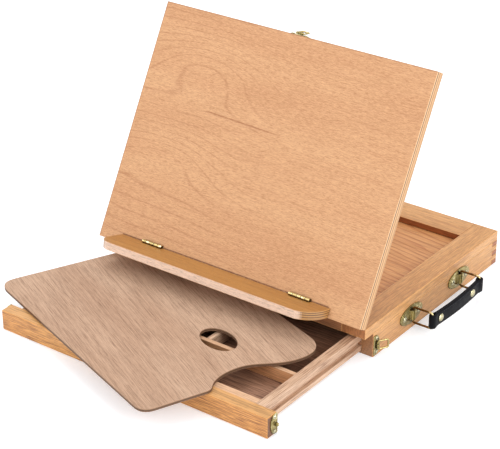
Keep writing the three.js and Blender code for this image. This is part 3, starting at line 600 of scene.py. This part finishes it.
def frame_at(origin, u, v):
    """Local frame: first axis u, second v, third u x v. Origin in metres."""
    w = u.cross(v)
    return Matrix.Translation(Vector(origin)) @ Matrix((u, v, w)).transposed().to_4x4()


def loft(rings, closed=False):
    """Skins rings of equally many points. An open skin is capped."""
    count = len(rings[0])
    vertices = [Vector(point) for ring in rings for point in ring]
    spans = len(rings) if closed else len(rings) - 1
    faces = []
    for i in range(spans):
        low, high = i * count, (i + 1) % len(rings) * count
        for j in range(count):
            k = (j + 1) % count
            faces.append((low + j, low + k, high + k, high + j))
    if not closed:
        faces.append(tuple(range(count - 1, -1, -1)))
        faces.append(tuple(range(len(vertices) - count, len(vertices))))
    return vertices, faces


def ellipse(a, b, count):
    turns = [2 * math.pi * i / count for i in range(count)]
    return [(a * math.cos(t), b * math.sin(t)) for t in turns]


def rounded(corners, radius, steps=4):
    """Polygon with rounded corners. A corner may carry its own radius as a third number."""
    outline = []
    for i, corner in enumerate(corners):
        here = Vector(corner[:2])
        before = (Vector(corners[i - 1][:2]) - here).normalized()
        after = (Vector(corners[(i + 1) % len(corners)][:2]) - here).normalized()
        turn = corner[2] if len(corner) > 2 else radius
        half = before.angle(after) / 2
        reach = turn / math.tan(half)
        centre = here + (before + after).normalized() * turn / math.sin(half)
        start, stop = here + before * reach - centre, here + after * reach - centre
        sweep = start.angle_signed(stop)
        for k in range(steps + 1):
            spin = Matrix.Rotation(-sweep * k / steps, 2)
            outline.append(tuple(centre + spin @ start))
    return outline


def inset(outline, distance):
    """Moves an anticlockwise outline inwards."""
    moved = []
    for i, point in enumerate(outline):
        before, after = Vector(outline[i - 1]), Vector(outline[(i + 1) % len(outline)])
        along = (after - before).normalized()
        moved.append((point[0] - along.y * distance, point[1] + along.x * distance))
    return moved


def slab(outline, low, high, arris, steps=3):
    """Sheet with rounded arrises. The outline lies in the local (second, third) plane."""
    angles = [math.pi / 2 * k / steps for k in range(steps + 1)]
    levels = [(arris * (1 - math.sin(t)), low + arris * (1 - math.cos(t))) for t in angles]
    levels += [(arris * (1 - math.cos(t)), high - arris * (1 - math.sin(t))) for t in angles]
    return loft([[(level, y, z) for y, z in inset(outline, depth)] for depth, level in levels])


def revolve(profile, centre=(0, 0, 0), axis=0, count=28):
    """Turned shape from (distance along, radius) pairs about a local axis."""
    rings = []
    for along, radius in profile:
        ring = []
        for y, z in ellipse(radius, radius, count):
            point = [y, z]
            point.insert(axis, along)
            ring.append(Vector(point) + Vector(centre))
        rings.append(ring)
    return loft(rings)


def tube(points, radius, normal, count=12):
    """Closed ring of round wire along points in a plane with that normal."""
    points = [Vector(p) for p in points]
    rings = []
    for i, point in enumerate(points):
        along = (points[(i + 1) % len(points)] - points[i - 1]).normalized()
        side = along.cross(normal)
        rings.append([point + (side * c + normal * d) * radius for c, d in ellipse(1, 1, count)])
    return loft(rings, closed=True)


def screw_head(y, z, face, radius, turn, slot=0.7):
    """Slotted domed head on the plane first axis = face: two half domes on a thin disc."""
    rise = radius * 0.42
    disc = [(face - 0.1, radius), (face + 0.25, radius), (face + 0.3, radius * 0.96)]
    shells = [revolve(disc, (0, y, z))]
    for sign in (1, -1):
        rings = []
        for k in range(6):
            t = k / 5 * math.radians(62)
            ring_radius = radius * 0.97 * math.cos(t)
            limit = math.acos(slot / 2 / ring_radius)
            ring = []
            for i in range(13):
                angle = -limit + 2 * limit * i / 12
                across = sign * ring_radius * math.cos(angle)
                along = sign * ring_radius * math.sin(angle)
                ring.append((face + 0.2 + rise * math.sin(t),
                             y + across * math.cos(turn) - along * math.sin(turn),
                             z + across * math.sin(turn) + along * math.cos(turn)))
            rings.append(ring)
        shells.append(loft(rings))
    return shells


SHARP = math.radians(38)


def add_piece(name, shells, place, look, body, replaced):
    """One object from closed shells in local millimetres, placed in the row frame."""
    vertices, faces = [], []
    for points, polygons in shells:
        start = len(vertices)
        vertices += [place @ (Vector(p) * MM) for p in points]
        faces += [tuple(i + start for i in polygon) for polygon in polygons]
    mesh = bpy.data.meshes.new(name)
    mesh.from_pydata(vertices, [], faces)
    work = bmesh.new()
    work.from_mesh(mesh)
    bmesh.ops.recalc_face_normals(work, faces=work.faces)
    work.to_mesh(mesh)
    work.free()
    mesh.shade_smooth()
    mesh.set_sharp_from_angle(angle=SHARP)
    mesh.materials.append(LOOKS[look])
    piece = bpy.data.objects.new(name, mesh)
    scene.collection.objects.link(piece)
    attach(piece, body)
    if replaced:
        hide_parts(*replaced)


# ---------------------------------------------------------------- handle

# Local axes: out of the case's side, along it to the rear, and up. Angles are in degrees.
HANDLE_AXIS = 2.8
HANDLE_REACH = (PIVOT["grip_swing"] - PIVOT["handle_front_swing"]).x / MM
HANDLE_SPAN = (PIVOT["handle_rear_swing"] - PIVOT["handle_front_swing"]).y / MM
HANDLE_WIRE = 1.2
HANDLE_PLATE = (21.4, 10.4)
HANDLE_PANEL = (18.8, 7.9)
HANDLE_PANEL_TOP = 1.5
HANDLE_SCREW_OFF = 13.2
BARREL_RADIUS = 2.7
BARREL_HALF = 5.6
BARREL_GROOVES = (60, 120)
GROOVE_DEPTH = 0.9
GROOVE_WIDTH = 9
STRAP_HALF_HEIGHT = 7.6
PLY = 2.2
EYE = 2.75
STRAP_BOW = 2.4
STITCH_PITCH = 3.3
RIVETS = {"front": 12, "rear": 75}


def handle_plate():
    """Oval plate with a raised panel, and over the wire a barrel with two grooves along it."""
    shells = [slab(ellipse(*HANDLE_PLATE, 72), 0, 1.2, 0.5),
              slab(ellipse(*HANDLE_PANEL, 72), 0.6, HANDLE_PANEL_TOP, 0.3)]
    foot = [(0.7, 4.5), (1.55, 4.5), (1.75, 3.9), (2.0, 3.1)]
    near = BARREL_HALF - 0.3
    rings = []
    for z, swell in ((-BARREL_HALF, -0.3), (-near, 0), (near, 0), (BARREL_HALF, -0.3)):
        ring = list(foot)
        for turn in range(4, 177, 4):
            cut = sum(math.exp(-((turn - middle) / GROOVE_WIDTH) ** 2) for middle in BARREL_GROOVES)
            arch, t = BARREL_RADIUS + swell - GROOVE_DEPTH * cut, math.radians(turn)
            ring.append((HANDLE_AXIS + arch * math.sin(t), arch * math.cos(t) * 1.05))
        ring += [(x, -y) for x, y in reversed(foot)]
        rings.append([(x, y, z) for x, y in ring])
    shells.append(loft(rings))
    return shells


def handle_screws():
    face = HANDLE_PANEL_TOP - 0.05
    return (screw_head(-HANDLE_SCREW_OFF, 0, face, 3.2, 0.5)
            + screw_head(HANDLE_SCREW_OFF, 0, face, 3.2, 1.3))


def wire_path(reach, half, bend, steps=6):
    """Rectangular ring in the (first, third) plane. Its inner leg stands on the axis."""
    corners = [(0, -half), (reach, -half), (reach, half), (0, half)]
    return [(a, 0, b) for a, b in rounded(corners, bend, steps)]


def strap_centre(y):
    """The strap bows outwards between its wires."""
    return STRAP_BOW * math.sin(math.pi * y / HANDLE_SPAN)


def strap_offset(y):
    """Half the distance between the two plies, which part round the wires."""
    near = max(0.0, 1 - min(y, HANDLE_SPAN - y) / 8)
    return PLY / 2 + (EYE - PLY / 2) * (1 - math.cos(math.pi * near)) / 2


def strap_path():
    """Middle of the band, along its outer ply, round the rear wire and back along the inner ply."""
    stations = [HANDLE_SPAN * i / 46 for i in range(47)]
    ends = [math.pi * k / 9 for k in range(1, 9)]
    path = [(strap_centre(y) + strap_offset(y), y) for y in stations]
    path += [(EYE * math.cos(t), HANDLE_SPAN + EYE * math.sin(t)) for t in ends]
    path += [(strap_centre(y) - strap_offset(y), y) for y in reversed(stations)]
    path += [(-EYE * math.cos(t), -EYE * math.sin(t)) for t in ends]
    return [Vector((x, y, 0)) for x, y in path]


def strap_shell():
    """Leather band folded round both wires and back on itself."""
    half = PLY / 2
    section = rounded([(-half, -STRAP_HALF_HEIGHT), (half, -STRAP_HALF_HEIGHT, 1.0),
                       (half, STRAP_HALF_HEIGHT, 1.0), (-half, STRAP_HALF_HEIGHT)], 0.3, 3)
    path = strap_path()
    rings = []
    for i, point in enumerate(path):
        along = (path[(i + 1) % len(path)] - path[i - 1]).normalized()
        out = along.cross(Z)
        rings.append([point + out * a + Z * b for a, b in section])
    return loft(rings, closed=True)


def stitches():
    """Thread showing along both edges of both faces."""
    profile = [(-1.2, 0.1), (-1.0, 0.3), (-0.5, 0.42), (0.5, 0.42), (1.0, 0.3), (1.2, 0.1)]
    shells = []
    for face in (1, -1):
        for row in (-1, 1):
            y = 17.0
            while y < HANDLE_SPAN - 6:
                x = strap_centre(y) + face * (strap_offset(y) + PLY / 2)
                shells.append(revolve(profile, (x, y, row * (STRAP_HALF_HEIGHT - 1.7)), 1, 8))
                y += STITCH_PITCH
    return shells


def rivet(y):
    """Domed head on each face of the strap, joined by a shank."""
    turns = [math.radians(10 + 78 * k / 7) for k in range(8)]
    dome = [(0.0, 4.3), (0.45, 4.3)]
    dome += [(0.45 + 1.5 * math.sin(t), 4.1 * math.cos(t)) for t in turns]
    outer = [(PLY - 0.15 + a, r) for a, r in dome]
    inner = [(-PLY + 0.15 - a, r) for a, r in dome]
    shank = [(-PLY, 1.2), (PLY, 1.2)]
    return [revolve(profile, (strap_centre(y), y, 0)) for profile in (outer, inner, shank)]


def make_handle():
    for end in ("front", "rear"):
        axis = PIVOT[f"handle_{end}_swing"]
        at_side = frame_at(axis - X * HANDLE_AXIS * MM, X, Y)
        add_piece(f"handle_plate_{end}_detail", handle_plate(), at_side, "brass", "case",
                  [f"handle_plate_{end}"])
        add_piece(f"handle_screws_{end}", handle_screws(), at_side, "pale_brass", "case",
                  [])
        at_axis = frame_at(axis, X, Y)
        loop = tube(wire_path(HANDLE_REACH, 9, 2.4), HANDLE_WIRE, Y)
        add_piece(f"handle_loop_{end}_detail", [loop], at_axis, "dark_brass", f"handle_{end}",
                  [f"handle_loop_{end}"])
    at_grip = frame_at(PIVOT["grip_swing"], X, Y)
    add_piece("grip_strap", [strap_shell()], at_grip, "leather", "grip", ["handle_grip"])
    add_piece("grip_stitching", stitches(), at_grip, "thread", "grip", [])
    for end, y in RIVETS.items():
        add_piece(f"grip_rivet_{end}_detail", rivet(y), at_grip, "pale_brass", "grip",
                  [f"grip_rivet_{end}"])


# ---------------------------------------------------------------- hasps and catches

# Local axes of a plate: out of the wood, away from its straight edge, and along that edge.
HASP_AXIS_OUT = 2.3
HASP_AXIS_BACK = 5
HASP_LENGTH = 11.5
HASP_HALF_WIDTH = 4.6
HASP_WIRE = 0.95
HASP_OPEN = math.radians(32)
LID_LOOP_AT_REST = math.radians(162)
HASP_PLATE_REACH = 10.5
HASP_PLATE_HALF = 11
HASP_SCREW = (4.65, 7.8)
POST_AT = HASP_LENGTH - HASP_AXIS_BACK - HASP_WIRE - 2.45


def shield(reach, half, count=20):
    """D-shaped outline: straight edge at 0, bowed edge away from it."""
    bow = []
    start, pull = (reach - 6, -half), reach + 2
    controls = [start, (pull, -half + 2), (pull, half - 2), (reach - 6, half)]
    for k in range(count + 1):
        t = k / count
        weights = ((1 - t) ** 3, 3 * t * (1 - t) ** 2, 3 * t * t * (1 - t), t ** 3)
        bow.append(tuple(sum(w * c[i] for w, c in zip(weights, controls)) for i in (0, 1)))
    return [(0, -half)] + bow + [(0, half)]


def hasp_base():
    """D-shaped plate with a raised rim."""
    outline = shield(HASP_PLATE_REACH, HASP_PLATE_HALF)
    centre = Vector((4.6, 0))
    shells = [slab(outline, 0, 0.9, 0.35)]
    rim = [tuple(centre + (Vector(p) - centre) * 0.92) for p in outline]
    middle = [tuple(centre + (Vector(p) - centre) * 0.8) for p in outline]
    wall = [[(0.5, y, z) for y, z in rim], [(1.1, y, z) for y, z in rim],
            [(1.1, y, z) for y, z in middle], [(0.5, y, z) for y, z in middle]]
    shells.append(loft(wall, closed=True))
    return shells


def hasp_screws(turn):
    y, z = HASP_SCREW
    return (screw_head(y, -z, 0.85, 2.1, turn, 0.5)
            + screw_head(y, z, 0.85, 2.1, turn + 0.9, 0.5))


def hasp_plate():
    """Plate with three knuckles round the loop's wire, and the block under them."""
    shells = hasp_base()
    for low, high in ((-4.2, -1.5), (-1.3, 1.3), (1.5, 4.2)):
        profile = [(low, 1.35), (low + 0.25, 1.75), (high - 0.25, 1.75), (high, 1.35)]
        shells.append(revolve(profile, (HASP_AXIS_OUT, HASP_AXIS_BACK, 0), 2, 24))
    block = [(0.6, 3.5), (0.6, 6.5), (2.0, 6.3), (2.0, 3.7)]
    shells.append(loft([[(x, y, z) for x, y in block] for z in (-2.6, 2.6)]))
    return shells


def catch_plate(post):
    """Plate with a hooked post that stands at that distance from its straight edge."""
    shells = hasp_base()
    section = rounded([(-1, -2), (1, -2), (1, 2), (-1, 2)], 0.5)
    levels = ((0.6, 0, 1.25), (1.1, 0, 1.05), (1.8, 0, 1.0), (2.8, 0, 1.0), (3.6, -0.12, 0.95),
              (4.15, -0.3, 0.8), (4.4, -0.4, 0.5))
    rings = []
    for x, back, scale in levels:
        rings.append([(x, post + 1 + back + a * scale, b * scale) for a, b in section])
    shells.append(loft(rings))
    return shells


def loop_shell():
    return [tube(wire_path(HASP_LENGTH, HASP_HALF_WIDTH, 1.8), HASP_WIRE, Y)]


def loop_frame(axis, u, v, angle):
    """The loop's own frame: first axis towards its far end."""
    reach = u * math.sin(angle) + v * math.cos(angle)
    return frame_at(axis, reach, u.cross(v).cross(reach))


def hasp_frame(axis, u, v):
    """Frame of the plate under a loop's axis."""
    return frame_at(axis - u * HASP_AXIS_OUT * MM - v * HASP_AXIS_BACK * MM, u, v)


def plate_with_screws(name, shells, place, turn, body):
    add_piece(f"{name}_detail", shells, place, "brass", body, [name])
    add_piece(f"{name}_screws", hasp_screws(turn), place, "pale_brass", body, [])


def make_hasps():
    for side, sign in (("left", -1), ("right", 1)):
        u, axis = X * sign, PIVOT[f"hasp_{side}_flip"]
        plate_with_screws(f"hasp_plate_{side}", hasp_plate(), hasp_frame(axis, u, Y), 0.4, "case")
        add_piece(f"hasp_loop_{side}_detail", loop_shell(), loop_frame(axis, u, Y, HASP_OPEN),
                  "bright_brass", f"hasp_{side}", [f"hasp_loop_{side}"])
        low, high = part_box(f"drawer_catch_{side}")
        catch = (sign * min(abs(low.x), abs(high.x)), high.y, (low.z + high.z) / 2)
        plate_with_screws(f"drawer_catch_{side}", catch_plate(POST_AT - 0.5),
                          frame_at(catch, u, -Y), 1.1, "drawer")
    axis = PIVOT["lid_hasp_flip"]
    plate_with_screws("lid_hasp_plate", hasp_plate(), hasp_frame(axis, BOARD_UP, BOARD_OUT), 0.4,
                      "board")
    add_piece("lid_hasp_loop_detail", loop_shell(),
              loop_frame(axis, BOARD_UP, BOARD_OUT, LID_LOOP_AT_REST),
              "bright_brass", "lid_hasp", ["lid_hasp_loop"])
    low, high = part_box("lid_catch")
    plate_with_screws("lid_catch", catch_plate(POST_AT - 0.8),
                      frame_at((0, low.y, high.z), Y, -Z), 1.1, "case")


# ---------------------------------------------------------------- hinges

# Local axes of a hinge: along its pin, along the board or case, and out of it.
LEDGE_HINGE = dict(length=26, radius=1.9)
LEDGE_HINGE_OFF = 96
LEDGE_HINGE_RISE = 2.2
LEDGE_PIN = 0.8
BOARD_HINGE = dict(length=50, radius=2.2)
BOARD_HINGE_OFF = 85
BOARD_PIN = 1.0


def knuckle(low, high, radius):
    """Barrel with chamfered ends."""
    return revolve([(low, radius * 0.8), (low + 0.3, radius), (high - 0.3, radius),
                    (high, radius * 0.8)])


def hinge_half(length, radius, first, plate_y, plate_z, tab_y, tab_z):
    """Leaf in the local (first, second) plane with every second one of five knuckles. Tabs join
    them to the leaf.
    """
    pitch, half = length / 5, length / 2
    outline = rounded([(-half, plate_y[0]), (half, plate_y[0]), (half, plate_y[1]),
                       (-half, plate_y[1])], 0.2, 2)
    vertices, faces = slab(outline, plate_z[0], plate_z[1], 0.15, 2)
    shells = [([Vector((y, z, x)) for x, y, z in vertices], faces)]
    tab = [(tab_y[0], tab_z[0]), (tab_y[1], tab_z[0]), (tab_y[1], tab_z[1]), (tab_y[0], tab_z[1])]
    for index in range(first, 5, 2):
        low, high = -half + index * pitch + 0.15, -half + (index + 1) * pitch - 0.15
        shells.append(knuckle(low, high, radius))
        shells.append(loft([[(x, y, z) for y, z in tab] for x in (low, high)]))
    return shells


def pin_ends(length, radius):
    """Upset ends of the hinge pin."""
    half = length / 2
    tip, small = half + 0.25, radius * 0.5
    return [revolve([(-tip, small), (-half, radius), (half, radius), (tip, small)])]


def make_ledge_hinge(side, sign):
    at = frame_at(PIVOT["ledge_fold"] + X * sign * LEDGE_HINGE_OFF * MM, X, BOARD_UP)
    flush = -LEDGE_HINGE_RISE - 0.1
    fixed = hinge_half(**LEDGE_HINGE, first=0, plate_y=(-9.5, 1), plate_z=(flush - 0.8, flush),
                       tab_y=(-1, 1), tab_z=(flush - 0.8, -1.4))
    add_piece(f"ledge_hinge_board_{side}", fixed, at, "bright_brass", "board",
              [f"ledge_hinge_board_leaf_{side}"])
    back = 0.3 - LEDGE_HINGE_RISE
    moving = hinge_half(**LEDGE_HINGE, first=1, plate_y=(-9.5, -2.3), plate_z=(back, back + 0.8),
                        tab_y=(-2.4, -1.25), tab_z=(back, back + 0.8))
    add_piece(f"ledge_hinge_ledge_{side}", moving, at, "bright_brass", "ledge",
              [f"ledge_hinge_ledge_leaf_{side}"])
    add_piece(f"ledge_hinge_pin_{side}_detail", pin_ends(LEDGE_HINGE["length"], LEDGE_PIN), at,
              "dark_brass", "board", [f"ledge_hinge_pin_{side}"])


def make_board_hinge(side, sign):
    hinge = BOARD_ORIGIN + X * sign * BOARD_HINGE_OFF * MM
    level, tilted = frame_at(hinge, X, Y), frame_at(hinge, X, BOARD_UP)
    lower = hinge_half(**BOARD_HINGE, first=0, plate_y=(2.8, 16), plate_z=(-1.1, 0),
                       tab_y=(1.7, 3), tab_z=(-1.1, 0))
    add_piece(f"board_hinge_case_{side}", lower, level, "brass", "case",
              [f"board_hinge_case_leaf_{side}"])
    upper = hinge_half(**BOARD_HINGE, first=1, plate_y=(2.8, 16), plate_z=(0.3, 1.4),
                       tab_y=(1.7, 3), tab_z=(0.3, 1.4))
    add_piece(f"board_hinge_board_{side}", upper, tilted, "brass", "board",
              [f"board_hinge_board_leaf_{side}"])
    add_piece(f"board_hinge_pin_{side}_detail", pin_ends(BOARD_HINGE["length"], BOARD_PIN), level,
              "dark_brass", "case", [f"board_hinge_pin_{side}"])


make_handle()
make_hasps()
for side, sign in (("left", -1), ("right", 1)):
    make_ledge_hinge(side, sign)
    make_board_hinge(side, sign)

for node_name in nodes:
    if node_name not in dressed:
        dress(node_name, LOOKS["brass"])


FLOOR_HALF = 6
FLOOR_GLOW = 0.3


def make_floor():
    """Pale floor that glows a little, so that it stays white under the soft light."""
    look = Look("floor")
    place, _ = look.frame(X, Y)
    cloud = look.noise(place, (300, 300, 300), 2)
    look.set(Base_Color=look.mix(cloud, (0.86, 0.89, 0.93, 1), (0.88, 0.91, 0.95, 1)),
             Roughness=0.9, Emission_Color=(0.94, 0.97, 1, 1), Emission_Strength=FLOOR_GLOW)
    mesh = bpy.data.meshes.new("floor")
    corners = [(-1, -1), (1, -1), (1, 1), (-1, 1)]
    mesh.from_pydata([(x * FLOOR_HALF, y * FLOOR_HALF, 0) for x, y in corners], [], [(0, 1, 2, 3)])
    mesh.materials.append(look.material)
    floor = bpy.data.objects.new("floor", mesh)
    scene.collection.objects.link(floor)


make_floor()
